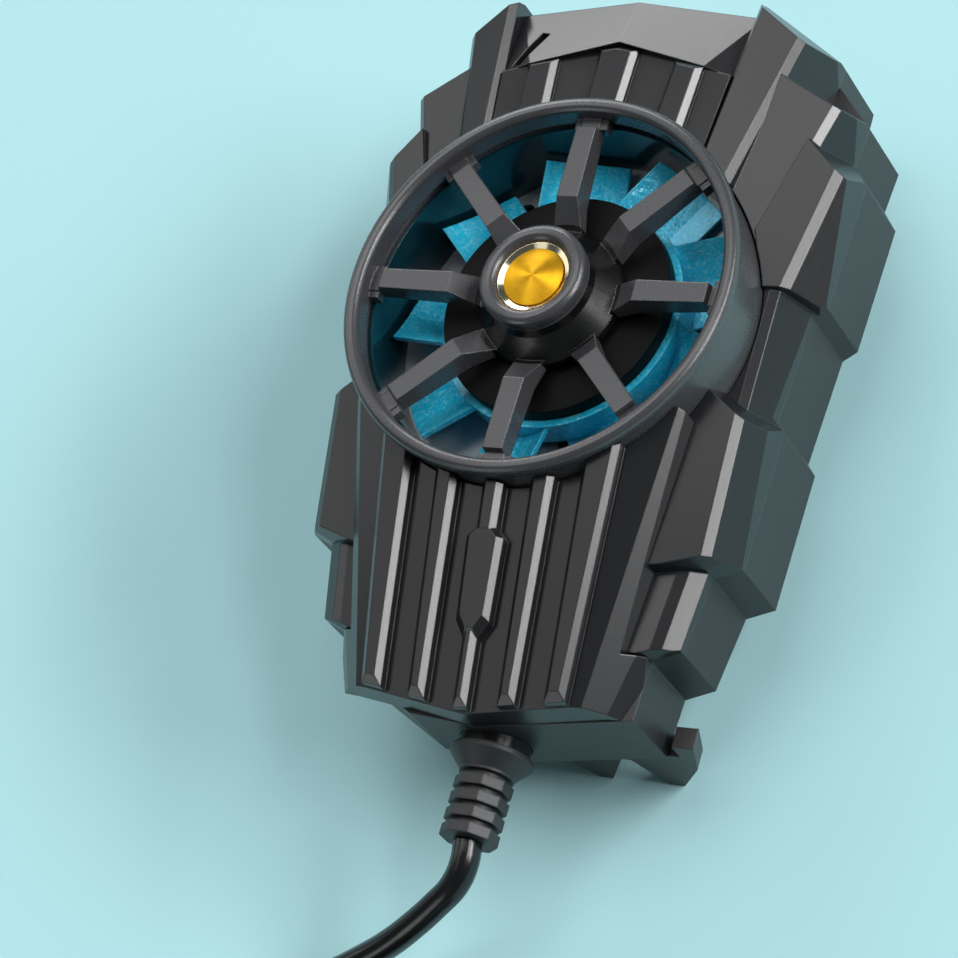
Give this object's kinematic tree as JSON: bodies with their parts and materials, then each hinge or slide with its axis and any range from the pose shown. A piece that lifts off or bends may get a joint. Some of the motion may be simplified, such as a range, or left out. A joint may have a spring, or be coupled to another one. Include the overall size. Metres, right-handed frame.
{
  "type": "phone cooling fan",
  "caption": "Clip-on phone cooler: faceted black body with a ducted cyan fan behind a spoked guard, cold plate, sprung clamp jaws and a captive USB lead.",
  "frame": {"origin": "middle of the soft pad's face that touches the phone, on the fan's axis", "axes": "+Z from the phone through the fan, +Y along the housing away from the lead, +X to the right seen from the fan side with the lead down"},
  "size_m": [0.0725, 0.1849, 0.0372],
  "materials": {
    "shell_abs": "fine moulded grain",
    "front_abs": "satin moulded",
    "cap_abs": "satin, lighter grey",
    "guard_abs": "semi-gloss",
    "bezel_chrome": "polished",
    "badge_gold": "polished gold colour",
    "shroud_teal": "deep teal",
    "blade_cyan": "bright cyan",
    "rotor_black": "black",
    "plate_steel": "bright, brushed",
    "slide_steel": "zinc plated",
    "spring_steel": "bright spring wire",
    "shaft_steel": "ground",
    "sinter_bronze": "sintered",
    "core_steel": "laminated",
    "magnet_ferrite": "dark ferrite",
    "coil_copper": "enamelled copper wire",
    "board_green": "solder mask",
    "chip_black": "moulded epoxy",
    "sink_alu": "extruded",
    "cell_ceramic": "white alumina",
    "cold_alu": "anodised",
    "pad_silicone": "grey silicone",
    "wire_pvc": "red wire jacket",
    "screw_black": "black oxide",
    "screw_zinc": "zinc plated",
    "cord_pvc": "glossy black jacket",
    "relief_pvc": "soft black moulding",
    "plug_pvc": "moulded black",
    "plug_steel": "nickel plated",
    "tongue_white": "white"
  },
  "bodies": {
    "housing": {"back_shell": "shell_abs", "front_cover": "front_abs", "armour_right": "front_abs", "armour_left": "front_abs", "end_cap": "cap_abs", "fan_guard": "guard_abs", "hub_trim": "guard_abs", "hub_bezel": "bezel_chrome", "hub_badge": "badge_gold", "fan_shroud": "shroud_teal", "fan_plate": "plate_steel", "bearing": "sinter_bronze", "stator_core": "core_steel", "stator_coils": "coil_copper", "motor_board": "board_green", "heat_sink": "sink_alu", "cooling_cell": "cell_ceramic", "cold_plate": "cold_alu", "phone_pad": "pad_silicone", "control_board": "board_green", "board_parts": "chip_black", "lead_wires": "wire_pvc", "fixed_jaw": "shell_abs", "fixed_grip": "pad_silicone", "spring_right": "spring_steel", "spring_left": "spring_steel", "spring_posts": "shell_abs", "shell_screws": "screw_black", "jaw_screws": "screw_black", "sink_screws": "screw_zinc", "cord_collar": "relief_pvc", "strain_relief": "relief_pvc", "cord": "cord_pvc", "cord_coil": "cord_pvc", "cord_tail": "cord_pvc", "plug_body": "plug_pvc", "plug_shell": "plug_steel", "plug_tongue": "tongue_white"},
    "rotor": {"impeller": "blade_cyan", "rotor_cup": "rotor_black", "magnet_ring": "magnet_ferrite", "fan_shaft": "shaft_steel"},
    "slider": {"slide_plate": "slide_steel", "sliding_jaw": "shell_abs", "sliding_grip": "pad_silicone"}
  },
  "joints": [
    {"name": "impeller_spin", "type": "hinge", "parent": "housing", "child": "rotor", "pos_m": [0, 0, 0.0185], "axis": [0, 0, 1], "continuous": true},
    {"name": "jaw_slide", "type": "slide", "parent": "housing", "child": "slider", "axis": [0, 1, 0], "range_m": [0, 0.019], "stiffness_N_per_m": 240, "springref_m": -0.012, "deforming": ["spring_right", "spring_left"]}
  ]
}
